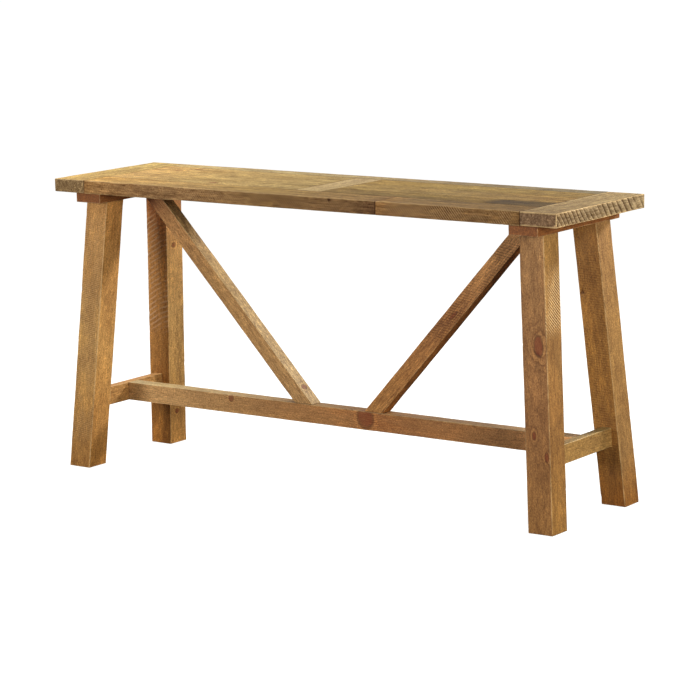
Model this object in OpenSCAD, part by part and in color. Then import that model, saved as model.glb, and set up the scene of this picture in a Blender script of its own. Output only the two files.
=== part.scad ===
// Rustic console table: a framed plank top on two splayed leg pairs, each pair joined by a
// cleat and a low cross stretcher, with one long stretcher and two braces between them.
// X runs along the table, Y from front to back, Z up. The origin is on the floor, centred.

/* [Overall] */
// Length of the top
top_len = 1524; // [1200:1:1800]
// Depth of the top, front to back
top_depth = 406; // [390:1:430]
// Height of the table
height = 762; // [700:1:850]

/* [Top boards] */
// Thickness of every top board
top_thick = 34; // [30:1:45]
// Width of the board across each end
end_board_w = 100; // [90:1:110]
// Width of the rail across the middle
rail_w = 80; // [60:1:100]
// Where the middle rail's centre lies along the table
rail_x = -12; // [-40:1:40]
// Width of the front board
front_board_w = 92; // [85:1:100]
// Width of the back board
back_board_w = 50; // [45:1:55]
// Where the two lengths of the front board meet
front_joint_x = 255; // [150:1:350]
// Seam behind the front panel board, left half
left_front_seam = -38; // [-50:1:-30]
// Seam in front of the back panel board, left half
left_back_seam = 72; // [60:1:75]
// Seam behind the front panel board, right half
right_front_seam = -36; // [-50:1:-30]
// Seam in front of the back panel board, right half
right_back_seam = 66; // [60:1:75]

/* [Legs] */
// Side of the square leg
leg_side = 67; // [60:1:72]
// How far a foot's outer corner stands in from the end of the top
foot_inset = 16; // [5:1:40]
// Lean of a leg along the table, in degrees
leg_lean_x = 4.1; // [3:0.1:5]
// Lean of a leg across the table, in degrees
leg_lean_y = 4.1; // [3:0.1:5]

/* [Cleats] */
// Width of the cleat under each end of the top
cleat_w = 80; // [72:1:84]
// Thickness of a cleat
cleat_thick = 26; // [22:1:30]
// How far a cleat stops short of the top's edges
cleat_inset = 15; // [5:1:20]

/* [Stretchers and braces] */
// Height of a stretcher's underside above the floor
stretcher_z = 150; // [100:1:200]
// Height of a stretcher's section
stretcher_h = 48; // [40:1:60]
// Thickness of the cross stretcher between two legs
cross_thick = 25; // [22:1:32]
// Thickness of the long stretcher and of the braces
long_thick = 38; // [30:1:45]
// Where a brace's outer foot corner stands on the long stretcher, from the middle
brace_foot_x = 136; // [110:1:160]
// Length of a brace's level foot
brace_foot_w = 55; // [45:1:65]
// Rise of the left brace for each unit along the table
brace_rise_left = 1.06; // [1:0.01:1.12]
// Rise of the right brace for each unit along the table
brace_rise_right = 1.1; // [1:0.01:1.12]

/* [Fasteners] */
// Diameter of the screws that hold the top to the cleats
top_screw_d = 5; // [4:0.5:6]
// Diameter of the screws that hold the cleats and braces
frame_screw_d = 6; // [5:0.5:8]
// Diameter of the dowels between the top boards
top_dowel_d = 8; // [6:1:10]
// Diameter of the dowels in the stretcher joints
stretcher_dowel_d = 10; // [8:1:12]

/* [Hidden] */
$fn = 32;
half_len = top_len / 2;
half_depth = top_depth / 2;
top_z = height - top_thick;
top_mid_z = height - top_thick / 2;
seam_x = half_len - end_board_w;
front_seam_y = front_board_w - half_depth;
back_seam_y = half_depth - back_board_w;
rail_left = rail_x - rail_w / 2;
rail_right = rail_x + rail_w / 2;

cleat_z = top_z - cleat_thick;
cleat_in = seam_x - cleat_w / 2;

foot_x = half_len - foot_inset;
foot_y = half_depth;
lean_turn_x = atan(tan(leg_lean_y) * cos(leg_lean_x));
foot_mid_x = foot_x - leg_side / 2 / cos(leg_lean_x);
foot_mid_y = foot_y - leg_side / 2 / cos(leg_lean_y);
leg_top_x = foot_mid_x - cleat_z * tan(leg_lean_x);
leg_top_y = foot_mid_y - cleat_z * tan(leg_lean_y);

stretcher_top = stretcher_z + stretcher_h;
stretcher_mid = stretcher_z + stretcher_h / 2;
cross_offset = 3;
cross_x = foot_mid_x - stretcher_mid * tan(leg_lean_x) + cross_offset;
cross_in = cross_x - cross_thick / 2;
leg_inner_y = foot_mid_y - leg_side / 2 - stretcher_mid * tan(leg_lean_y);
tenon_len = 28;
tenon_thick = 15;
tenon_h = 34;

screw_row = cleat_w / 4;
screw_ys = [-172, -66, 14, 79, 172];
top_screw_len = cleat_thick + 22;
leg_screw_len = 80;
leg_screw_gap = 32;
brace_foot_screw_len = 75;
brace_foot_screw_x = brace_foot_x - 15;
brace_head_screw_len = 50;
brace_head_screw_x = 580;
brace_head_screw_z = top_z - 28;
dowel_half = 20;
front_joint_ys = [25, 65];
rail_end_xs = [-12, 12];
stretcher_dowel_zs = [-12, 12];
stretcher_dowel_in = 30;
stretcher_dowel_out = 15;

left_seams = [front_seam_y, left_front_seam, left_back_seam, back_seam_y];
right_seams = [front_seam_y, right_front_seam, right_back_seam, back_seam_y];

// ---- shapes that repeat ----

// A box given by any two opposite corners
module block(a, b) {
    low = [for (i = [0:2]) min(a[i], b[i])];
    high = [for (i = [0:2]) max(a[i], b[i])];
    translate(low) cube(high - low);
}

// A board of the top, between two X and two Y positions
module top_board(x0, x1, y0, y1) {
    block([x0, y0, top_z], [x1, y1, height]);
}

// The outside of a countersunk wood screw, point up, with its head face at z = 0
module screw_body(d, len) {
    head_h = d / 2;
    point_h = d;
    cylinder(h = head_h, d1 = 2 * d, d2 = d);
    cylinder(h = len - point_h, d = d);
    translate([0, 0, len - point_h]) cylinder(h = point_h, d1 = d, d2 = d / 4);
}

// A wood screw with a cross recess in its head
module wood_screw(d, len) {
    slot_w = d / 6;
    slot_h = d / 3;
    difference() {
        screw_body(d, len);
        for (turn = [0, 90])
            rotate([0, 0, turn]) translate([0, 0, slot_h / 2]) cube([d, slot_w, slot_h], center = true);
    }
}

// Places its children at each top screw under one cleat: side is -1 or 1
module at_top_screws(side) {
    for (row = [-1, 1], y = screw_ys)
        translate([side * (seam_x + row * screw_row), y, cleat_z]) children();
}

// Places its children, turned point down, at the two screws over one leg
module at_leg_screws(side, depth_side) {
    for (along = [-1, 1])
        translate([side * leg_top_x, depth_side * leg_top_y + along * leg_screw_gap / 2, top_z])
            rotate([180, 0, 0]) children();
}

// Places its children at the screw up through the head of a brace
module at_brace_head_screw(side) {
    translate([side * brace_head_screw_x, 0, brace_head_screw_z]) children();
}

// Places its children at the screw up through the long stretcher into a brace's foot
module at_brace_foot_screw(side) {
    translate([side * brace_foot_screw_x, 0, stretcher_z]) children();
}

// A dowel along X or Y, centred on a point of the top's middle plane
module dowel_x(x, y) {
    translate([x - dowel_half, y, top_mid_z]) rotate([0, 90, 0]) cylinder(h = 2 * dowel_half, d = top_dowel_d);
}
module dowel_y(x, y) {
    translate([x, y + dowel_half, top_mid_z]) rotate([90, 0, 0]) cylinder(h = 2 * dowel_half, d = top_dowel_d);
}

// The two dowels between the rail and each panel board of one half
module panel_dowels(x, seams) {
    for (i = [0:2], part = [0.25, 0.75])
        dowel_x(x, seams[i] + part * (seams[i + 1] - seams[i]));
}
module rail_end_dowels(y) {
    for (dx = rail_end_xs) dowel_y(rail_x + dx, y);
}
module front_joint_dowels() {
    for (y = front_joint_ys) dowel_x(front_joint_x, y - half_depth);
}

// The two dowels between the long stretcher and one cross stretcher
module stretcher_end_dowels(side) {
    for (dz = stretcher_dowel_zs)
        translate([side * (cross_in + stretcher_dowel_out), 0, stretcher_mid + dz])
            rotate([0, -side * 90, 0])
                cylinder(h = stretcher_dowel_in + stretcher_dowel_out, d = stretcher_dowel_d);
}

// Panel board i of one half, counted from the front, with its dowel and screw holes
module panel_board(side, i) {
    seams = side < 0 ? left_seams : right_seams;
    rail_edge = side < 0 ? rail_left : rail_right;
    color("burlywood") difference() {
        top_board(rail_edge, side * seam_x, seams[i], seams[i + 1]);
        panel_dowels(rail_edge, seams);
        at_top_screws(side) screw_body(top_screw_d, top_screw_len);
        at_brace_head_screw(side) screw_body(frame_screw_d, brace_head_screw_len);
    }
}

// A leg before its mortise is cut: sides are -1 or 1 for left or right, front or back
module leg_blank(side, depth_side) {
    long = 2 * cleat_z;
    intersection() {
        translate([side * foot_mid_x, depth_side * foot_mid_y, 0])
            rotate([depth_side * lean_turn_x, -side * leg_lean_x, 0])
                cube([leg_side, leg_side, long], center = true);
        block([-half_len, -top_depth, 0], [half_len, top_depth, cleat_z]);
    }
}

// The tenon at both ends of a cross stretcher, as one bar right through
module tenon_bar(side) {
    reach = leg_inner_y + tenon_len;
    translate([side * cross_x, 0, stretcher_mid]) cube([tenon_thick, 2 * reach, tenon_h], center = true);
}

module leg(side, depth_side) {
    color("peru") difference() {
        leg_blank(side, depth_side);
        tenon_bar(side);
        at_leg_screws(side, depth_side) screw_body(frame_screw_d, leg_screw_len);
    }
}

module cleat(side) {
    color("sienna") difference() {
        block([side * cleat_in, cleat_inset - half_depth, cleat_z],
              [side * (cleat_in + cleat_w), half_depth - cleat_inset, top_z]);
        at_top_screws(side) screw_body(top_screw_d, top_screw_len);
        for (depth_side = [-1, 1])
            at_leg_screws(side, depth_side) screw_body(frame_screw_d, leg_screw_len);
    }
}

module cross_stretcher(side) {
    color("sienna") difference() {
        union() {
            difference() {
                translate([side * cross_x, 0, stretcher_mid])
                    cube([cross_thick, top_depth - leg_side, stretcher_h], center = true);
                for (depth_side = [-1, 1]) leg_blank(side, depth_side);
            }
            tenon_bar(side);
        }
        stretcher_end_dowels(side);
    }
}

module brace(side, rise) {
    run = (top_z - stretcher_top) / rise;
    counterbore = 40;
    color("tan") difference() {
        intersection() {
            rotate([90, 0, 0]) linear_extrude(long_thick, center = true)
                polygon([
                    [side * brace_foot_x, stretcher_top],
                    [side * (brace_foot_x - brace_foot_w), stretcher_top],
                    [side * (brace_foot_x - brace_foot_w + run), top_z],
                    [side * (brace_foot_x + run), top_z]]);
            block([-cleat_in, -top_depth, 0], [cleat_in, top_depth, height]);
        }
        at_brace_head_screw(side) screw_body(frame_screw_d, brace_head_screw_len);
        at_brace_head_screw(side) rotate([180, 0, 0]) cylinder(h = counterbore, d = 2 * frame_screw_d);
        at_brace_foot_screw(side) screw_body(frame_screw_d, brace_foot_screw_len);
    }
}

// ---- sub-parts ----

module end_board(side) {
    color("wheat") difference() {
        top_board(side * seam_x, side * half_len, -half_depth, half_depth);
        at_top_screws(side) screw_body(top_screw_d, top_screw_len);
    }
}
module end_board_left() { end_board(-1); }
module end_board_right() { end_board(1); }

module front_board(x0, x1) {
    color("tan") difference() {
        top_board(x0, x1, -half_depth, front_seam_y);
        rail_end_dowels(front_seam_y);
        front_joint_dowels();
        for (side = [-1, 1]) at_top_screws(side) screw_body(top_screw_d, top_screw_len);
    }
}
module front_board_left() { front_board(-seam_x, front_joint_x); }
module front_board_right() { front_board(front_joint_x, seam_x); }

module back_board() {
    color("tan") difference() {
        top_board(-seam_x, seam_x, back_seam_y, half_depth);
        rail_end_dowels(back_seam_y);
        for (side = [-1, 1]) at_top_screws(side) screw_body(top_screw_d, top_screw_len);
    }
}

module centre_rail() {
    color("wheat") difference() {
        top_board(rail_left, rail_right, front_seam_y, back_seam_y);
        rail_end_dowels(front_seam_y);
        rail_end_dowels(back_seam_y);
        panel_dowels(rail_left, left_seams);
        panel_dowels(rail_right, right_seams);
    }
}

module panel_left_front() { panel_board(-1, 0); }
module panel_left_middle() { panel_board(-1, 1); }
module panel_left_back() { panel_board(-1, 2); }
module panel_right_front() { panel_board(1, 0); }
module panel_right_middle() { panel_board(1, 1); }
module panel_right_back() { panel_board(1, 2); }

module cleat_left() { cleat(-1); }
module cleat_right() { cleat(1); }

module leg_front_left() { leg(-1, -1); }
module leg_front_right() { leg(1, -1); }
module leg_back_left() { leg(-1, 1); }
module leg_back_right() { leg(1, 1); }

module cross_stretcher_left() { cross_stretcher(-1); }
module cross_stretcher_right() { cross_stretcher(1); }

module long_stretcher() {
    color("peru") difference() {
        block([-cross_in, -long_thick / 2, stretcher_z], [cross_in, long_thick / 2, stretcher_top]);
        for (side = [-1, 1]) {
            stretcher_end_dowels(side);
            at_brace_foot_screw(side) screw_body(frame_screw_d, brace_foot_screw_len);
        }
    }
}

module brace_left() { brace(-1, brace_rise_left); }
module brace_right() { brace(1, brace_rise_right); }

module top_screws() {
    color("dimgray")
        for (side = [-1, 1]) at_top_screws(side) wood_screw(top_screw_d, top_screw_len);
}

module leg_screws() {
    color("dimgray")
        for (side = [-1, 1], depth_side = [-1, 1])
            at_leg_screws(side, depth_side) wood_screw(frame_screw_d, leg_screw_len);
}

module brace_screws() {
    color("dimgray")
        for (side = [-1, 1]) {
            at_brace_foot_screw(side) wood_screw(frame_screw_d, brace_foot_screw_len);
            at_brace_head_screw(side) wood_screw(frame_screw_d, brace_head_screw_len);
        }
}

module top_dowels() {
    color("wheat") {
        for (y = [front_seam_y, back_seam_y]) rail_end_dowels(y);
        panel_dowels(rail_left, left_seams);
        panel_dowels(rail_right, right_seams);
        front_joint_dowels();
    }
}

module stretcher_dowels() {
    color("wheat")
        for (side = [-1, 1]) stretcher_end_dowels(side);
}

end_board_left();
end_board_right();
front_board_left();
front_board_right();
back_board();
centre_rail();
panel_left_front();
panel_left_middle();
panel_left_back();
panel_right_front();
panel_right_middle();
panel_right_back();
cleat_left();
cleat_right();
leg_front_left();
leg_front_right();
leg_back_left();
leg_back_right();
cross_stretcher_left();
cross_stretcher_right();
long_stretcher();
brace_left();
brace_right();
top_screws();
leg_screws();
brace_screws();
top_dowels();
stretcher_dowels();
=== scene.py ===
import bpy
import math
import numpy as np
from mathutils import Matrix, Vector


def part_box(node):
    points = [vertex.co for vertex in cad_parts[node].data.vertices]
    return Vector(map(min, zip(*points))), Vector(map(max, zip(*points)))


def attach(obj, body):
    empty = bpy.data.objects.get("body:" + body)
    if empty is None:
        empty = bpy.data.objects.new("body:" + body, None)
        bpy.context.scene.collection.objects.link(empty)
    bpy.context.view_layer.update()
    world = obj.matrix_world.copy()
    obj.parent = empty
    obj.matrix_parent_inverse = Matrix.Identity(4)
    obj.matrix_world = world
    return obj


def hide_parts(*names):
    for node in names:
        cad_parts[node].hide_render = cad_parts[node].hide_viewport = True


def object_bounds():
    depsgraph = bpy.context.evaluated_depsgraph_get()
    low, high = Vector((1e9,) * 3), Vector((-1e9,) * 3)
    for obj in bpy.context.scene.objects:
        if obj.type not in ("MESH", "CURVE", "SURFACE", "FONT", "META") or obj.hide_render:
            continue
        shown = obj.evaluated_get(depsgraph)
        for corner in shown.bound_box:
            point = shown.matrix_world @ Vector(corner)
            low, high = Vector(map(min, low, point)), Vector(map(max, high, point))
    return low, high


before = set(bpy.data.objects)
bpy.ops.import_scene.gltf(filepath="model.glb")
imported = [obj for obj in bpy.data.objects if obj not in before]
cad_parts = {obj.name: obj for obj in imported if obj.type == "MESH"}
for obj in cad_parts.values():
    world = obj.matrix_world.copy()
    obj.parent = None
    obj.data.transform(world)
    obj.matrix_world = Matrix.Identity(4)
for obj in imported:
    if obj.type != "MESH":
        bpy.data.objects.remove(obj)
cad_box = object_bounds()

MM = 0.001

# ---------------------------------------------------------------- camera

CAMERA_PLACE = Vector((4.0644, -5.6109, 1.6148))
CAMERA_HEADING, CAMERA_DIP, CAMERA_ROLL = 0.6237, 0.1814, 0.0203
CAMERA_LENS, CAMERA_SENSOR = 143.32, 36.0


def make_camera():
    """The camera at the photograph's viewing angle."""
    ahead = Vector((-math.sin(CAMERA_HEADING) * math.cos(CAMERA_DIP),
                    math.cos(CAMERA_HEADING) * math.cos(CAMERA_DIP),
                    -math.sin(CAMERA_DIP)))
    level = Vector((math.cos(CAMERA_HEADING), math.sin(CAMERA_HEADING), 0))
    below = ahead.cross(level)
    right = math.cos(CAMERA_ROLL) * level + math.sin(CAMERA_ROLL) * below
    top = right.cross(ahead)
    data = bpy.data.cameras.new("camera")
    data.lens, data.sensor_width = CAMERA_LENS, CAMERA_SENSOR
    camera = bpy.data.objects.new("camera", data)
    bpy.context.scene.collection.objects.link(camera)
    turn = Matrix((right, top, -ahead)).transposed().to_4x4()
    camera.matrix_world = Matrix.Translation(CAMERA_PLACE) @ turn
    bpy.context.scene.camera = camera


# ---------------------------------------------------------------- light and floor

FLOOR_SIZE = 60.0
FLOOR_DROP = 0.2 * MM
FLOOR_PAINT, FLOOR_GLOW = 0.25, 0.97
GLOW, SHEEN = 0.06, 0.8            # of the white backdrop, on the object


def aim(thing, place, target):
    thing.location = place
    thing.rotation_mode = "QUATERNION"
    thing.rotation_quaternion = (Vector(target) - Vector(place)).to_track_quat("-Z", "Y")


def area_light(name, direction, distance, size, power, tint):
    """A square area light seen from the table's middle in the given direction."""
    middle = (cad_box[0] + cad_box[1]) / 2
    data = bpy.data.lights.new(name, "AREA")
    data.size, data.energy, data.color = size, power, tint
    lamp = bpy.data.objects.new(name, data)
    bpy.context.scene.collection.objects.link(lamp)
    aim(lamp, middle + Vector(direction).normalized() * distance, middle)


def make_light():
    """Four soft lamps: one behind to the right, one high on the left and two weaker ones in front."""
    area_light("back_right", (0.43, 0.74, 0.51), 3.2, 0.45, 105, (1.0, 0.97, 0.92))
    area_light("left", (-0.82, 0, 0.57), 3.2, 1.0, 92, (1.0, 0.97, 0.92))
    area_light("front_right", (0.85, -0.49, 0.21), 3.2, 0.8, 60, (1.0, 0.97, 0.93))
    area_light("front_left", (-0.41, -0.90, 0.25), 2.45, 0.5, 24, (1.0, 0.98, 0.95))
    bpy.context.scene.view_settings.view_transform = "Standard"


def make_world():
    """A white backdrop for the camera. The object gets a weak even glow from it, and a sheen on the
    faces that look up."""
    world = bpy.data.worlds.new("studio")
    bpy.context.scene.world = world
    world.use_nodes = True
    g = Graph(world.node_tree, "Background")
    height = g.add("SeparateXYZ", {0: g.add("TexCoord", {})}, 2)
    to_camera, glossy = g.add("LightPath", {}, 0), g.add("LightPath", {}, 3)
    sheen = g.math("MULTIPLY", glossy, g.ramp(height, -0.05, 0.2, 0.0, SHEEN))
    level = g.math("MAXIMUM", to_camera, g.math("ADD", sheen, GLOW))
    g.put(g.shader.inputs["Strength"], level)
    g.put(g.shader.inputs["Color"], (1, 1, 1, 1))


def make_floor():
    """A plain pale floor that glows, so that shadows on it stay faint."""
    half = FLOOR_SIZE / 2
    mesh = bpy.data.meshes.new("floor")
    corners = [(-half, -half, 0), (half, -half, 0), (half, half, 0), (-half, half, 0)]
    mesh.from_pydata(corners, [], [(0, 1, 2, 3)])
    floor = bpy.data.objects.new("floor", mesh)
    bpy.context.scene.collection.objects.link(floor)
    floor.location.z = -FLOOR_DROP
    floor.visible_diffuse = False
    floor.visible_glossy = False
    paint = bpy.data.materials.new("floor")
    paint.use_nodes = True
    shader = paint.node_tree.nodes["Principled BSDF"]
    shader.inputs["Base Color"].default_value = (*[FLOOR_PAINT] * 3, 1)
    shader.inputs["Emission Color"].default_value = (1, 1, 1, 1)
    shader.inputs["Emission Strength"].default_value = FLOOR_GLOW
    shader.inputs["Roughness"].default_value = 1.0
    mesh.materials.append(paint)


# ---------------------------------------------------------------- node helpers

class Graph:
    """Adds nodes to a material or the world, with a short call for each kind that is used."""

    def __init__(self, tree, shader="Principled BSDF"):
        self.tree = tree
        self.shader = tree.nodes[shader]

    def put(self, socket, value):
        if isinstance(value, bpy.types.NodeSocket):
            self.tree.links.new(value, socket)
        else:
            socket.default_value = value

    def add(self, kind, values, out=0, **settings):
        made = self.tree.nodes.new("ShaderNode" + kind)
        for key, value in settings.items():
            setattr(made, key, value)
        for key, value in values.items():
            self.put(made.inputs[key], value)
        return made.outputs[out]

    def math(self, operation, *values):
        return self.add("Math", dict(enumerate(values)), operation=operation)

    def vector(self, operation, *values):
        out = 1 if operation == "LENGTH" else 0
        return self.add("VectorMath", dict(enumerate(values)), out, operation=operation)

    def noise(self, vector, scale=1.0, detail=2.0, roughness=0.5):
        return self.add("TexNoise", {"Vector": vector, "Scale": scale, "Detail": detail,
                                     "Roughness": roughness})

    def ramp(self, value, low, high, to_low=0.0, to_high=1.0):
        """A smooth step from to_low at low to to_high at high."""
        return self.add("MapRange", {"Value": value, "From Min": low, "From Max": high,
                                     "To Min": to_low, "To Max": to_high},
                        interpolation_type="SMOOTHSTEP")

    def band(self, value, start, full, still, end):
        """Rises smoothly from 0 at start to 1 at full, and falls again from still to end."""
        return self.math("MULTIPLY", self.ramp(value, start, full), self.ramp(value, end, still))

    def spread(self, value, amount):
        """Turns a noise from 0 to 1 into one round zero, so many times as large."""
        return self.math("MULTIPLY", self.math("SUBTRACT", value, 0.5), amount)

    def mix(self, factor, a, b, blend="MIX"):
        made = self.tree.nodes.new("ShaderNodeMix")
        made.data_type, made.blend_type = "RGBA", blend
        self.put(made.inputs[0], factor)
        self.put(made.inputs[6], a)
        self.put(made.inputs[7], b)
        return made.outputs[2]

    def tint(self, factor, shade, factors):
        """Multiplies a colour by fixed factors, as far as factor says."""
        return self.mix(factor, shade, factors, "MULTIPLY")

    def blend(self, value, stops):
        """A colour that passes through the stops, each a position from 0 to 1 and a colour code."""
        made = self.tree.nodes.new("ShaderNodeValToRGB")
        self.put(made.inputs[0], value)
        marks = made.color_ramp.elements
        while len(marks) > len(stops):
            marks.remove(marks[-1])
        while len(marks) < len(stops):
            marks.new(1.0)
        for mark, (position, code) in zip(marks, stops):
            mark.position = position
            mark.color = colour(code)
        return made.outputs[0]

    def bump(self, height, strength, distance):
        return self.add("Bump", {"Height": height, "Strength": strength, "Distance": distance})


def new_material(name):
    material = bpy.data.materials.new(name)
    material.use_nodes = True
    return material, Graph(material.node_tree)


def colour(code):
    """A linear colour with alpha from an sRGB code such as "c89a5c"."""
    parts = [int(code[i:i + 2], 16) / 255 for i in (0, 2, 4)]
    return [c / 12.92 if c <= 0.04045 else ((c + 0.055) / 1.055) ** 2.4 for c in parts] + [1.0]


# ---------------------------------------------------------------- wood

# What a piece of timber looks like. Lengths are in metres in the piece's own grain space:
# x along the piece from its low end, y across, z through. Each piece changes some of these.
PLAIN_LOOK = dict(
    tones=((0, "a87a48"),),                 # base colour at fractions of the length, with painted light and shade on some pieces
    faces=(),                               # painted light and shade: colour factors for single faces
    rings=0.5, grit=1.35, fibre=0.45, streaks=0.2, mottle=0.45, blotches=0.4, greys=0.35, flecks=0.35,
    knots=(), knot="742a10",                # places and sizes, and the colour of their cores
    saws=(),                                # blade marks, each from hatch()
    worn="e6c48c", worn_width=3 * MM, worn_amount=0.38,
    seam=0.8, rough=0.60, gloss=0.3)
LIGHTER, DARKER, DARKEST = (1.38, 1.38, 1.34, 1), (0.54, 0.46, 0.40, 1), (0.33, 0.26, 0.22, 1)
DULLER, GREYER = (0.66, 0.60, 0.54, 1), (0.70, 0.72, 0.78, 1)

# Growth rings: spacing, how far they bend, and where their centre lies beside the low end
RING_WIDTH, RING_BEND = 6 * MM, 50 * MM
PITH_Y, PITH_Z, PITH_LEAN = 30 * MM, -90 * MM, 0.02

# Noises: how fast each changes along, across and through the piece, its detail and its roughness
NOISES = dict(
    slow=((2.5, 9, 9), 3, 0.5),
    blotch=((9, 30, 30), 4, 0.65),
    mottle=((45, 130, 130), 4, 0.7),
    streak=((4, 130, 130), 3, 0.6),
    fibre=((40, 260, 260), 3, 0.6),
    grit=((240, 300, 300), 3, 0.7),
    fleck=((70, 260, 260), 1, 0.5))
RAGGED = 5 * MM                             # how far the edge of the pale wear wanders


def hatch(face, start, stop, pitch, tilt, amount, code, curve=0):
    """Blade marks on one face, from start to stop along the piece: how far apart they are, how
    much they slant and bow across it, how strongly they show and in which colour."""
    return dict(face=face, start=start, stop=stop, pitch=pitch, tilt=tilt, amount=amount, code=code,
                curve=curve)


def rings(g, look, grain, x, y, z, slow, noisy):
    """Growth rings round a pith beside the piece, bent by slow noise and by the knots. Returns the
    ring lines, and the knots' cores, dark rims and pale halos."""
    pith_y = g.math("SUBTRACT", y, g.math("MULTIPLY_ADD", x, PITH_LEAN, PITH_Y))
    pith_z = g.math("SUBTRACT", z, PITH_Z)
    radius = g.math("SQRT", g.math("ADD", g.math("MULTIPLY", pith_y, pith_y),
                                   g.math("MULTIPLY", pith_z, pith_z)))
    radius = g.math("ADD", radius, g.spread(slow, RING_BEND))
    core, rim, halo, near = 0.0, 0.0, 0.0, 0.0
    for place_x, place_y, place_z, size in look["knots"]:
        reach = Vector((2.0 * size, size, 2.5 * size))
        away = g.vector("SUBTRACT", grain, (place_x, place_y, place_z))
        away = g.vector("LENGTH", g.vector("DIVIDE", away, reach))
        away = g.math("ADD", away, g.spread(noisy, 1.6))
        radius = g.math("ADD", radius, g.ramp(away, 3.6, 0.4, 0.0, size * 1.6))
        core = g.math("MAXIMUM", core, g.ramp(away, 1.05, 0.7))
        rim = g.math("MAXIMUM", rim, g.band(away, 0.7, 0.95, 1.0, 1.15))
        halo = g.math("MAXIMUM", halo, g.band(away, 1.1, 1.3, 1.4, 1.8))
        near = g.math("MAXIMUM", near, g.ramp(away, 3.6, 1.4))
    phase = g.math("FRACT", g.math("DIVIDE", radius, RING_WIDTH))
    line = g.math("MULTIPLY", g.math("POWER", phase, 2.0), g.ramp(phase, 1.0, 0.88))
    line = g.math("MULTIPLY", line, g.math("MULTIPLY_ADD", near, 0.8, 0.8 * look["rings"]))
    return line, core, rim, halo


def face_side(g, face, x, y, z, size):
    """How far inside a face a point lies, and the coordinate across that face measured from
    its middle. The face is named by its grain axis and side, such as "y-"."""
    axis = "xyz".index(face[0])
    depth, across = (x, y, z)[axis], (y, z, y)[axis]
    if face[1] == "+":
        depth = g.math("SUBTRACT", size[axis], depth)
    return depth, g.math("SUBTRACT", across, size[(1, 2, 1)[axis]] / 2)


def saw_marks(g, saw, x, y, z, noisy, size):
    """The blade marks of one hatch() on a piece, as an amount from 0 to 1."""
    pitch, start, stop = saw["pitch"], saw["start"], saw["stop"]
    depth, centred = face_side(g, saw["face"], x, y, z, size)
    on_face = g.ramp(depth, 3 * MM, 1 * MM)
    bow = g.math("MULTIPLY", g.math("MULTIPLY", centred, centred), saw["curve"])
    along = g.math("ADD", g.math("MULTIPLY_ADD", centred, saw["tilt"], x), bow)
    along = g.math("MULTIPLY_ADD", noisy, 0.8 * pitch, along)
    blade = g.math("SINE", g.math("MULTIPLY", along, 2 * math.pi / pitch))
    soft = min(50 * MM, (stop - start) / 3)
    zone = g.band(x, start, start + soft, stop - soft, stop)
    return g.math("MULTIPLY", g.ramp(blade, 0.0, 1.0), g.math("MULTIPLY", zone, on_face))


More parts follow.
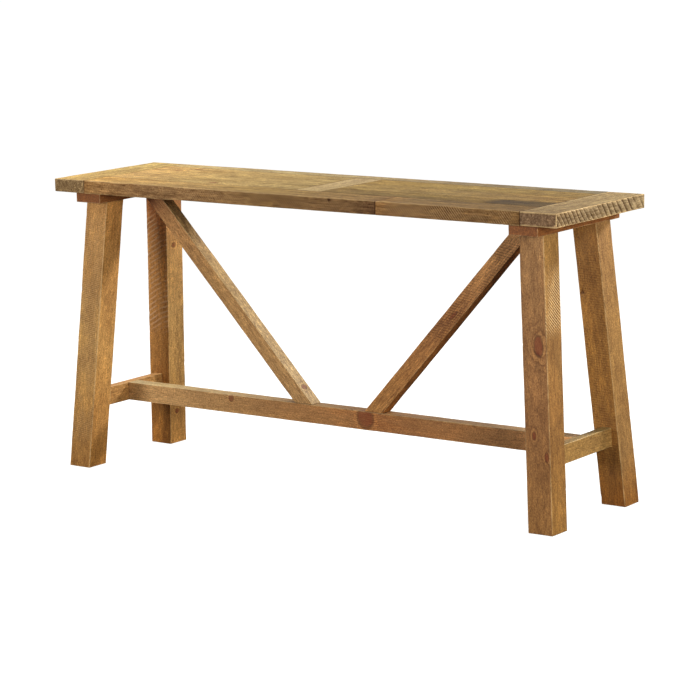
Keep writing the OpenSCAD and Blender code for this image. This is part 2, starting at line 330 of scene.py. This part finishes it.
def wood(name, seed, size, **changes):
    """A reclaimed softwood: a base colour that changes along the piece, painted light and shade on listed
    faces, growth rings, fibres, streaks, blotches, grey weathering, dark flecks, knots, saw marks, worn
    pale arrises, darker hollows and dark seams. All of it is worked out from the grain, edge, seam and
    hollow attributes."""
    look = dict(PLAIN_LOOK, **changes)
    material, g = new_material(name)
    grain = g.add("Attribute", {}, 1, attribute_name="grain")
    edge, hollow, seam = (g.add("Attribute", {}, 2, attribute_name=attribute)
                          for attribute in ("edge", "hollow", "seam"))
    # Each piece lies in its own part of the noises
    place = g.vector("ADD", grain, Vector((seed * 3.17 % 7, seed * 1.91 % 5, seed * 5.3 % 11)))
    axes = g.add("SeparateXYZ", {0: grain})
    x, y, z = (axes.node.outputs[i] for i in range(3))
    noise = {key: g.noise(g.vector("MULTIPLY", place, pace), 1.0, detail, roughness)
             for key, (pace, detail, roughness) in NOISES.items()}
    slow, blotch, mottle = noise["slow"], noise["blotch"], noise["mottle"]
    line, core, rim, halo = rings(g, look, grain, x, y, z, slow, blotch)

    where = g.math("ADD", g.spread(slow, 0.25 * size[0]), x)
    shade = g.blend(g.math("DIVIDE", where, size[0]), look["tones"])
    # Painted light and shade: each listed face is made lighter or darker by fixed factors
    for face, factors in look["faces"]:
        depth, _ = face_side(g, face, x, y, z, size)
        shade = g.tint(g.ramp(depth, 2 * MM, 0.5 * MM), shade, (*factors, 1))
    shade = g.tint(line, shade, DARKER)
    for noisy, amount in ((noise["streak"], look["streaks"]), (noise["fibre"], look["fibre"]),
                          (noise["grit"], look["grit"]), (mottle, look["mottle"]),
                          (blotch, look["blotches"])):
        shade = g.tint(g.ramp(noisy, 0.50, 0.68, 0, amount), shade, DULLER)
        shade = g.tint(g.ramp(noisy, 0.49, 0.32, 0, amount), shade, LIGHTER)
    shade = g.tint(g.ramp(slow, 0.50, 0.66, 0, look["greys"]), shade, GREYER)
    shade = g.tint(g.ramp(noise["fleck"], 0.64, 0.72, 0, look["flecks"]), shade, DARKEST)
    if look["knots"]:
        shade = g.tint(g.math("MULTIPLY", halo, 0.7), shade, LIGHTER)
        shade = g.mix(g.math("MULTIPLY", core, 0.65), shade, colour(look["knot"]))
        shade = g.tint(g.math("MULTIPLY", rim, 0.9), shade, DARKER)

    height = g.math("MULTIPLY_ADD", noise["fibre"], 0.5, g.math("MULTIPLY", line, -0.35))
    height = g.math("ADD", height, mottle)
    for saw in look["saws"]:
        mark = saw_marks(g, saw, x, y, z, blotch, size)
        broken = g.math("MULTIPLY", mark, g.ramp(blotch, 0.36, 0.56))
        shade = g.mix(g.math("MULTIPLY", broken, saw["amount"]), shade, colour(saw["code"]))
        height = g.math("ADD", height, broken)

    # Arrises are worn pale in places, hollows are made darker by their depth, and seams between boards
    # are dark
    ragged = g.math("MULTIPLY", g.math("ADD", mottle, blotch), RAGGED)
    wear = g.ramp(g.math("ADD", edge, ragged), look["worn_width"] + RAGGED, 4.4 * MM)
    shade = g.mix(g.math("MULTIPLY", wear, look["worn_amount"]), shade, colour(look["worn"]))
    shade = g.tint(g.ramp(hollow, 0.5 * MM, 2.0 * MM, 0, 0.9), shade, DARKEST)
    shade = g.tint(g.ramp(seam, 2.2 * MM, 0.8 * MM, 0, look["seam"]), shade, DARKEST)

    g.put(g.shader.inputs["Base Color"], shade)
    g.put(g.shader.inputs["Normal"], g.bump(height, 0.6, 0.7 * MM))
    g.put(g.shader.inputs["Roughness"], g.math("MULTIPLY_ADD", blotch, 0.2, look["rough"] - 0.1))
    g.put(g.shader.inputs["Specular IOR Level"], look["gloss"])
    return material


def steel():
    """Dull zinc-plated screws with a faint fine bump and dirt."""
    material, g = new_material("screw_steel")
    place = g.add("TexCoord", {}, 3)
    dirt = g.ramp(g.noise(place, 240, 3.0), 0.42, 0.62)
    g.put(g.shader.inputs["Base Color"], g.mix(dirt, colour("8e8c86"), colour("4a4540")))
    g.put(g.shader.inputs["Roughness"], g.math("MULTIPLY_ADD", dirt, 0.3, 0.32))
    g.put(g.shader.inputs["Normal"], g.bump(g.noise(place, 900, 2.0), 0.25, 0.2 * MM))
    g.shader.inputs["Metallic"].default_value = 0.9
    return material


def dowel_wood():
    """Plain pale beech with short dark flecks."""
    material, g = new_material("dowel_wood")
    place = g.add("TexCoord", {}, 3)
    fleck = g.ramp(g.noise(place, 420, 3.0), 0.45, 0.7)
    g.put(g.shader.inputs["Base Color"], g.mix(fleck, colour("cfa873"), colour("a87d4c")))
    g.put(g.shader.inputs["Normal"], g.bump(fleck, 0.3, 0.3 * MM))
    g.shader.inputs["Roughness"].default_value = 0.6
    return material


# ---------------------------------------------------------------- timber meshes

CELLS = (5 * MM, 4 * MM, 4 * MM)
FACES = ["x-", "y-", "z-", "x+", "y+", "z+"]
ARRIS_ROWS = [0, 0.5 * MM, 1.0 * MM, 1.6 * MM, 2.4 * MM, 3.4 * MM]
CHIP_LEVEL = 0.75                           # arrises are chipped where the chip noise is above this
EASE_RANGE = 0.3, 2.6                       # the least and most worn arris, as parts of the ease


def rows(length, cell):
    """Grid positions from 0 to length, close together near both ends."""
    margin = ARRIS_ROWS[-1]
    steps = max(2, round((length - 2 * margin) / cell))
    middle = np.linspace(margin, length - margin, steps + 1)[1:-1]
    return np.concatenate([ARRIS_ROWS, middle, length - np.array(ARRIS_ROWS[::-1])])


def field(points, seed, waves, count=16):
    """A smooth random field from about -1 to 1 over 3-D points. waves holds (shortest, longest)
    wavelengths along each axis."""
    draw = np.random.default_rng(seed)
    total = np.zeros(len(points))
    for _ in range(count):
        spread = draw.uniform(0, 1)
        lengths = np.array([low * (high / low) ** spread for low, high in waves])
        direction = draw.normal(size=3)
        direction /= np.linalg.norm(direction)
        total += np.sin(points @ (2 * np.pi * direction / lengths) + draw.uniform(0, 2 * np.pi))
    return total / math.sqrt(count / 2) / 2


def box_grid(size, cells):
    """Points and quads of a closed box from the origin to size, as one welded grid."""
    marks = [rows(length, cell) for length, cell in zip(size, cells)]
    points, quads, total = [], [], 0
    for axis in range(3):
        u_axis, v_axis = (axis + 1) % 3, (axis + 2) % 3
        u, v = np.meshgrid(marks[u_axis], marks[v_axis], indexing="ij")
        index = np.arange(u.size).reshape(u.shape)
        a, b, c, d = index[:-1, :-1], index[1:, :-1], index[1:, 1:], index[:-1, 1:]
        for side in (0.0, size[axis]):
            sheet = np.zeros((u.size, 3))
            sheet[:, u_axis], sheet[:, v_axis], sheet[:, axis] = u.ravel(), v.ravel(), side
            order = (a, b, c, d) if side else (d, c, b, a)
            quads.append(np.stack([q.ravel() for q in order], -1) + total)
            points.append(sheet)
            total += u.size
    points, quads = np.concatenate(points), np.concatenate(quads)
    keys = np.round(points / (0.01 * MM)).astype(np.int64)
    _, first, back = np.unique(keys, axis=0, return_index=True, return_inverse=True)
    return points[first], back.reshape(-1)[quads]


def timber(name, size, seed, to_world, ease=1.2 * MM, relief=None, uneven=0.35 * MM, cells=CELLS,
           tight=()):
    """A piece of timber with eased, unevenly worn and chipped arrises and a slightly uneven
    surface. All shaping goes inwards. size is along, across, through; to_world turns grain-space
    points into the row frame; relief(points, normals, size) adds its own depth; tight names the
    faces that lie against a neighbour, whose arrises aren't worn."""
    size = np.array(size)
    points, quads = box_grid(size, cells)
    wear = field(points, seed, [(50 * MM, 300 * MM)] * 3)
    chips = np.clip(field(points, seed + 1, [(14 * MM, 60 * MM)] * 3) - CHIP_LEVEL, 0, None)
    radius = ease * np.clip(0.9 + 0.8 * wear + 3.5 * chips, *EASE_RANGE)[:, None]
    inner = np.clip(points, radius, size - radius)
    out = points - inner
    normal = out / np.linalg.norm(out, axis=1, keepdims=True)
    depth = uneven * (0.5 + 0.5 * field(points, seed + 2, [(60 * MM, 260 * MM)] * 3))
    extra = np.zeros(len(points)) if relief is None else relief(points, normal, size)
    shaped = inner + normal * (radius - np.clip(depth + extra, 0, None)[:, None])
    distances = np.hstack([points, size - points])
    columns = [FACES.index(face) for face in tight]
    seam = distances[:, columns].min(axis=1) if tight else np.ones(len(points))
    distances[:, columns] += 1.0
    from_faces = np.sort(np.minimum(distances[:, :3], distances[:, 3:]), axis=1)
    placed = to_world(shaped)
    corners = placed[quads]
    crossed = np.cross(corners[:, 1] - corners[:, 0], corners[:, 2] - corners[:, 0])
    if np.einsum("ij,ij->", corners[:, 0], crossed) < 0:
        quads = quads[:, ::-1]
    mesh = bpy.data.meshes.new(name)
    mesh.from_pydata(placed.tolist(), [], quads.tolist())
    mesh.polygons.foreach_set("use_smooth", np.ones(len(quads), bool))
    mesh.attributes.new("grain", "FLOAT_VECTOR", "POINT").data.foreach_set("vector", points.ravel())
    mesh.attributes.new("edge", "FLOAT", "POINT").data.foreach_set("value", from_faces[:, 1])
    mesh.attributes.new("hollow", "FLOAT", "POINT").data.foreach_set("value", extra)
    mesh.attributes.new("seam", "FLOAT", "POINT").data.foreach_set("value", seam)
    piece = bpy.data.objects.new(name, mesh)
    bpy.context.scene.collection.objects.link(piece)
    return piece


# ---------------------------------------------------------------- relief

SAW_SEEDS = 7, 9
SAW_FADE = 6 * MM                           # how fast saw ridges fade at the ends of their stretch


def saw_relief(face, start, stop, pitch, grow, tilt, deep, sharp=1.0):
    """Ridges left by a saw on one long face: pitch between them at the start, growing along the
    piece, tilted across it, up to deep below the face in the grooves."""
    axis = "xyz".index(face[0])
    way = 1 if face[1] == "+" else -1

    def relief(points, normals, size):
        along = points[:, 0] + tilt * (points[:, 3 - axis] - size[3 - axis] / 2)
        wander = field(points, SAW_SEEDS[0], [(40 * MM, 120 * MM)] * 3)
        phase = np.log1p(grow * np.clip(along - start, 0, None) / pitch) / grow + 0.12 * wander
        ridge = np.abs(np.sin(np.pi * phase)) ** sharp
        uneven = field(points, SAW_SEEDS[1], [(30 * MM, 110 * MM)] * 3)
        strength = np.clip(0.8 + 0.35 * uneven, 0.25, 1)
        ends = np.clip(np.minimum(points[:, 0] - start, stop - points[:, 0]) / SAW_FADE, 0, 1)
        on_face = np.clip(way * normals[:, axis], 0, 1)
        return deep * (1 - ridge) * strength * ends * on_face
    return relief


def dents(spots):
    """Small round hollows, each at (x, y, z) with a radius and a depth."""
    def relief(points, normals, size):
        total = np.zeros(len(points))
        for place, radius, deep in spots:
            away = np.linalg.norm(points - np.array(place), axis=1) / radius
            total += deep * np.clip(1 - away ** 2, 0, 1)
        return total
    return relief


# ---------------------------------------------------------------- where each kind of piece lies

def along_x(low):
    return lambda p: p + np.array(low)


def along_y(low):
    return lambda p: p[:, [1, 0, 2]] + np.array(low)


def leaning(foot, shift, height):
    """For a piece that stands on a level foot: low corner of the foot, and how far its top is
    shifted in X and Y over the height."""
    def to_world(p):
        upright = np.hstack([p[:, 1:2], p[:, 2:3], p[:, :1]])
        return np.array(foot) + upright + p[:, :1] / height * np.array([*shift, 0])
    return to_world


LEG_SECTION = 67.17 * MM                    # side of a leg, cut level across its lean
BRACE_FOOT = 55 * MM                        # length of a brace's level foot
BRACE_RISE = {"left": 1.06, "right": 1.10}  # height over run
INTO_NEIGHBOUR = 1.0 * MM                   # how far a cross stretcher goes into the legs


def make_piece(node, seed, size, to_world, look, shape):
    """The timber piece that is shown in place of one CAD node, in its own wood."""
    size = tuple(size)
    piece = timber(node + "_timber", size, seed, to_world, **shape)
    piece.data.materials.append(wood(node, seed, size, **look))
    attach(piece, "root")
    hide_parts(node)


def board(node, axis, seed, slot, look, **shape):
    """A square-cut piece that lies along X or Y and fills its CAD node's box."""
    low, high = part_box(node)
    size = high - low
    if axis == "x":
        make_piece(node, seed, size, along_x(low), look, shape)
    else:
        make_piece(node, seed, (size.y, size.x, size.z), along_y(low), look, shape)


def leg(node, seed, look, **shape):
    """A square post that leans inwards both ways from a level foot."""
    low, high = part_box(node)
    side_x = 1 if low.x > 0 else -1
    side_y = 1 if low.y > 0 else -1
    lean_x, lean_y = high.x - low.x - LEG_SECTION, high.y - low.y - LEG_SECTION
    foot_x = high.x - LEG_SECTION if side_x > 0 else low.x
    foot_y = high.y - LEG_SECTION if side_y > 0 else low.y
    to_world = leaning([foot_x, foot_y, 0], (-side_x * lean_x, -side_y * lean_y), high.z)
    make_piece(node, seed, (high.z, LEG_SECTION, LEG_SECTION), to_world, look, shape)


def leg_inner_y(z):
    """Distance from the middle of the table to a leg's inner face, at a height."""
    low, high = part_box("leg_back_right")
    lean = (high.y - low.y - LEG_SECTION) / (high.z - low.z)
    return high.y - LEG_SECTION - lean * z


def cross_stretcher(node, seed, look, **shape):
    """A rail from the front leg to the back leg, whose ends follow the legs' lean."""
    low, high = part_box(node)
    length = 2 * (leg_inner_y(low.z) + INTO_NEIGHBOUR)

    def to_world(p):
        z = p[:, 2] + low.z
        reach = leg_inner_y(z) + INTO_NEIGHBOUR
        return np.stack([p[:, 1] + low.x, (2 * p[:, 0] / length - 1) * reach, z], -1)
    size = (length, high.x - low.x, high.z - low.z)
    make_piece(node, seed, size, to_world, look, shape)


def brace(node, side, seed, look, **shape):
    """A slanting piece with a level foot, leaning away from the middle, cut off at its box."""
    low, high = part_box(node)
    sign = 1 if side == "right" else -1
    height = high.z - low.z
    run = sign * height / BRACE_RISE[side]
    foot_x = low.x if sign > 0 else high.x - BRACE_FOOT
    slant = math.hypot(1, BRACE_RISE[side]) / BRACE_RISE[side]
    stand = leaning([foot_x, low.y, low.z], (run, 0), height)

    def to_world(p):
        world = stand(p * np.array([1 / slant, 1, 1]))
        world[:, 0] = np.clip(world[:, 0], low.x, high.x)
        return world
    size = (height * slant, BRACE_FOOT, high.y - low.y)
    make_piece(node, seed, size, to_world, look, shape)


# ---------------------------------------------------------------- the top

TABLE_DEPTH, TOP_THICK = 406 * MM, 34 * MM
RIDGE_PITCH, RIDGE_SHARP = 15 * MM, 0.7
TOP_FINISH = dict(grit=1.2, fibre=0.9, streaks=0.8, mottle=0.8, blotches=0.7, gloss=0.08)
HONEY, BROWN = dict(TOP_FINISH, greys=0.3), dict(TOP_FINISH, greys=0.6)
PANEL_PARTS = "front", "middle", "back"


def make_end_boards():
    """The boards across both ends, with deep saw ridges on their outer edges."""
    # Painted light and shade: both boards' front ends are darker and bluer, and the right board's outer
    # edge is lighter and bluer
    look = dict(HONEY, tones=((0, "b8985a"), (1, "bca365")), faces=(("x-", (0.58, 0.58, 0.85)),))
    ridges = saw_relief("y-", 0, TABLE_DEPTH, RIDGE_PITCH, 0.02, 0.6, 1.5 * MM, RIDGE_SHARP)
    board("end_board_left", "y", 11, "top_plank_honey", look, cells=(3 * MM, 4 * MM, 3 * MM),
          ease=2 * MM, tight=("y+",), relief=ridges)
    look = dict(BROWN, tones=((0, "9c845d"), (1, "ab9469")), worn_width=5 * MM, worn_amount=0.8,
                faces=(("x-", (0.64, 0.57, 0.67)), ("y+", (1.10, 1.12, 1.27))))
    ridges = saw_relief("y+", 0, TABLE_DEPTH, RIDGE_PITCH, 0.032, 0.75, 3.0 * MM, RIDGE_SHARP)
    board("end_board_right", "y", 12, "top_plank_brown", look, cells=(2 * MM, 4 * MM, 2.5 * MM),
          ease=2 * MM, tight=("y-",), relief=ridges)


def make_long_boards():
    """The front board's two lengths, with chipped front faces, and the back board."""
    shape = dict(ease=1.8 * MM, tight=("x-", "x+", "y+"))
    # The factors on the front faces are painted light and shade
    look = dict(HONEY, faces=(("y-", (0.73, 0.65, 0.82)),),
                tones=((0, "c39a54"), (0.3, "ba985c"), (0.6, "9a7e46"), (0.92, "8d7041"), (1, "725330")),
                saws=(hatch("y-", 0.30, 0.88, 7 * MM, 0.8, 0.40, "bc9468"),))
    chips = dents([((0.43, 0, 0.030), 4 * MM, 2 * MM), ((0.78, 0, 0.029), 6 * MM, 3 * MM),
                   ((0.16, 0, 0.020), 4 * MM, 1.5 * MM), ((0.60, 0, 0.012), 3 * MM, 1.5 * MM)])
    board("front_board_left", "x", 13, "top_plank_brown", look, relief=chips, **shape)
    look = dict(BROWN, faces=(("y-", (1.00, 0.91, 1.06)),),
                tones=((0, "997643"), (0.2, "866b40"), (1, "775c32")),
                saws=(hatch("y-", 0, 0.41, 7 * MM, 0.8, 0.65, "c09a6c"),))
    chips = dents([((0.15, 0, 0.028), 4 * MM, 2 * MM), ((0.32, 0, 0.022), 5 * MM, 2 * MM)])
    board("front_board_right", "x", 14, "top_plank_brown", look, relief=chips, **shape)
    look = dict(HONEY, tones=((0, "c7ae77"), (0.3, "b19e72"), (0.6, "938160"), (1, "80745a")))
    board("back_board", "x", 15, "top_plank_honey", look, tight=("x-", "x+", "y-"))


def make_panels():
    """The pale rail across the middle and the three lengthwise boards on each side of it."""
    inside = ("x-", "x+", "y-", "y+")
    look = dict(tones=((0, "b49c6d"), (1, "b8a075")), gloss=0.08)
    board("centre_rail", "y", 16, "top_plank_pale", look, tight=inside)
    left_tones = ((0, "c19d62"), (0.4, "b4985f"), (1, "a18a58"))
    left_knots = dict(front=((0.335, 0.025, TOP_THICK, 7 * MM),),
                      middle=(),
                      back=((0.078, 0.012, TOP_THICK, 7 * MM), (0.120, 0.050, TOP_THICK, 6 * MM)))
    right_tones = dict(front=((0, "90743d"), (0.5, "806836"), (0.74, "8d713a"), (0.8, "534022"),
                              (1, "624d27")),
                       middle=((0, "9d834c"), (0.5, "997e49"), (1, "967843")),
                       back=((0, "997d43"), (0.5, "998048"), (1, "8f7541")))
    for i, part in enumerate(PANEL_PARTS):
        look = dict(HONEY, tones=left_tones, knots=left_knots[part])
        board("panel_left_" + part, "x", 20 + i, "top_plank_honey", look, tight=inside)
        look = dict(BROWN, tones=right_tones[part])
        board("panel_right_" + part, "x", 30 + i, "top_plank_brown", look, tight=inside)


# ---------------------------------------------------------------- the frame

STANDING = dict(tight=("x+",))
BOTH_ENDS = dict(tight=("x-", "x+"))
LEG_FINISH = dict(mottle=0.65, blotches=0.7)
BRACE_FINISH = dict(grit=1.6, fibre=1.0, mottle=0.9)


def make_front_legs():
    """The left one is lightly saw-marked, and the right one has knots and a coarse hatch."""
    # The factors on the legs' front and right faces are painted light and shade
    look = dict(LEG_FINISH, tones=((0, "b37e40"), (0.5, "ce9e5d"), (0.7, "c08f52"), (1, "d29a58")),
                faces=(("z-", (0.90, 0.92, 0.92)), ("y+", (1.10, 1.08, 1.0))), worn_amount=0.6,
                knots=((0.101, 0.004, 0.03, 5 * MM),),
                saws=(hatch("z-", 0.05, 0.68, 5 * MM, 0.15, 0.22, "f0c890"),))
    leg("leg_front_left", 41, look, **STANDING)
    look = dict(LEG_FINISH, tones=((0, "a37640"), (0.4, "9b6e3f"), (1, "ab804d")),
                faces=(("z-", (0.92, 0.89, 0.92)), ("y+", (1.00, 1.02, 0.88))),
                knots=((0.443, 0.044, 0, 12 * MM), (0.232, 0.025, 0, 5 * MM), (0.184, 0.058, 0, 6 * MM)),
                saws=(hatch("y+", 0.45, 0.64, 8 * MM, 0.9, 0.95, "eec88c"),))
    leg("leg_front_right", 42, look, **STANDING)


def make_back_legs():
    """The left one has bowed saw ridges on its front, and the right one a notch."""
    # The factors on the legs' front and right faces are painted light and shade
    look = dict(LEG_FINISH, faces=(("z-", (0.98, 0.90, 0.82)), ("y+", (1.02, 1.12, 1.20))),
                tones=((0, "c18541"), (0.25, "af8147"), (0.5, "c09054"), (0.75, "ce9858"), (1, "b06c3e")),
                knots=((0.09, LEG_SECTION, 0.03, 4 * MM), (0.553, LEG_SECTION, 0.03, 4 * MM)),
                saws=(hatch("z-", 0.30, 0.66, 14 * MM, -0.5, 0.7, "e0b488", curve=3),))
    ridges = saw_relief("z-", 0.30, 0.68, 14 * MM, 0.001, -0.5, 0.8 * MM)
    leg("leg_back_left", 43, look, relief=ridges, cells=(3 * MM, 4 * MM, 4 * MM), **STANDING)
    # The darker, more orange foot of the right leg is painted shade
    look = dict(LEG_FINISH, tones=((0, "915d23"), (0.2, "9e733d"), (0.55, "a97c41"), (1, "a07440")),
                faces=(("z-", (0.86, 0.80, 0.68)), ("y+", (1.14, 1.22, 1.40))),
                saws=(hatch("z-", 0.05, 0.66, 6 * MM, 0.05, 0.3, "6a3f18"),))
    notch = dents([((0.529, 0.008, 0), 7 * MM, 3 * MM), ((0.20, 0.050, 0), 4 * MM, 1.5 * MM)])
    leg("leg_back_right", 44, look, relief=notch, **STANDING)


def make_cleats():
    """The reddish battens under the top at both leg pairs."""
    # The factor on the cleats' front ends is painted shade
    look = dict(tones=((0, "945e30"), (1, "945e30")), faces=(("x-", (0.8, 0.75, 0.75)),))
    for node, seed in (("cleat_left", 50), ("cleat_right", 51)):
        board(node, "y", seed, "stretcher_timber", look, tight=("z+",))


def make_stretchers():
    """The two cross stretchers and the long one, whose big knot is near the middle."""
    look = dict(tones=((0, "b4864c"), (1, "b4864c")))
    cross_stretcher("cross_stretcher_left", 55, look, **BOTH_ENDS)
    # The factor on the right one's top face is painted shade
    look = dict(tones=((0, "ab844a"), (1, "ab844a")), faces=(("z+", (0.8, 0.93, 1)),))
    cross_stretcher("cross_stretcher_right", 56, look, **BOTH_ENDS)
    # The lighter right end is painted light, and the factor on the top face is painted shade
    look = dict(tones=((0, "cea670"), (0.3, "bc8d57"), (0.6, "ae7340"), (0.82, "ae7a48"),
                       (0.92, "dea268"), (1, "e8ae74")),
                faces=(("z+", (0.66, 0.81, 0.90)),),
                knots=((0.774, 0, 0.031, 11 * MM), (0.347, 0, 0.040, 4 * MM)),
                saws=(hatch("y-", 0.1, 1.3, 5 * MM, 0.7, 0.2, "d8a870"),))
    board("long_stretcher", "x", 57, "stretcher_timber", look, **BOTH_ENDS)


def make_braces():
    """The right one is darker, partly through painted shade on its lower side, with saw marks across its
    front.
    """
    # Painted shadow at the left brace's dark head, under the top, and a painted sheen making its upper
    # side paler and bluer
    look = dict(BRACE_FINISH, tones=((0, "be9460"), (0.6, "bc9059"), (0.84, "b08250"), (0.93, "7c4a28")),
                faces=(("y+", (0.88, 1.03, 1.15)),), knots=((0.055, BRACE_FOOT, 0.020, 4 * MM),))
    brace("brace_left", "left", 61, look, **BOTH_ENDS)
    # Painted light making the right brace lighter towards its head, and painted shade darkening its lower
    # side
    look = dict(BRACE_FINISH, tones=((0, "bb854a"), (0.5, "a26d3c"), (0.75, "da9e60"), (1, "ecb072")),
                faces=(("y+", (0.85, 0.72, 0.50)),), knots=((0.36, 0.030, 0, 7 * MM),),
                saws=(hatch("z-", 0.24, 0.64, 8 * MM, 0.2, 0.6, "5c3216"),))
    brace("brace_right", "right", 62, look, **BOTH_ENDS)


def make_fasteners():
    """The CAD screws and dowels are shown as they are, in steel and beech."""
    for nodes, material in ((("top_screws", "leg_screws", "brace_screws"), steel()),
                            (("top_dowels", "stretcher_dowels"), dowel_wood())):
        for node in nodes:
            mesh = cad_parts[node].data
            mesh.materials.clear()
            mesh.materials.append(material)


make_camera()
make_light()
make_world()
make_floor()
make_end_boards()
make_long_boards()
make_panels()
make_front_legs()
make_back_legs()
make_cleats()
make_stretchers()
make_braces()
make_fasteners()
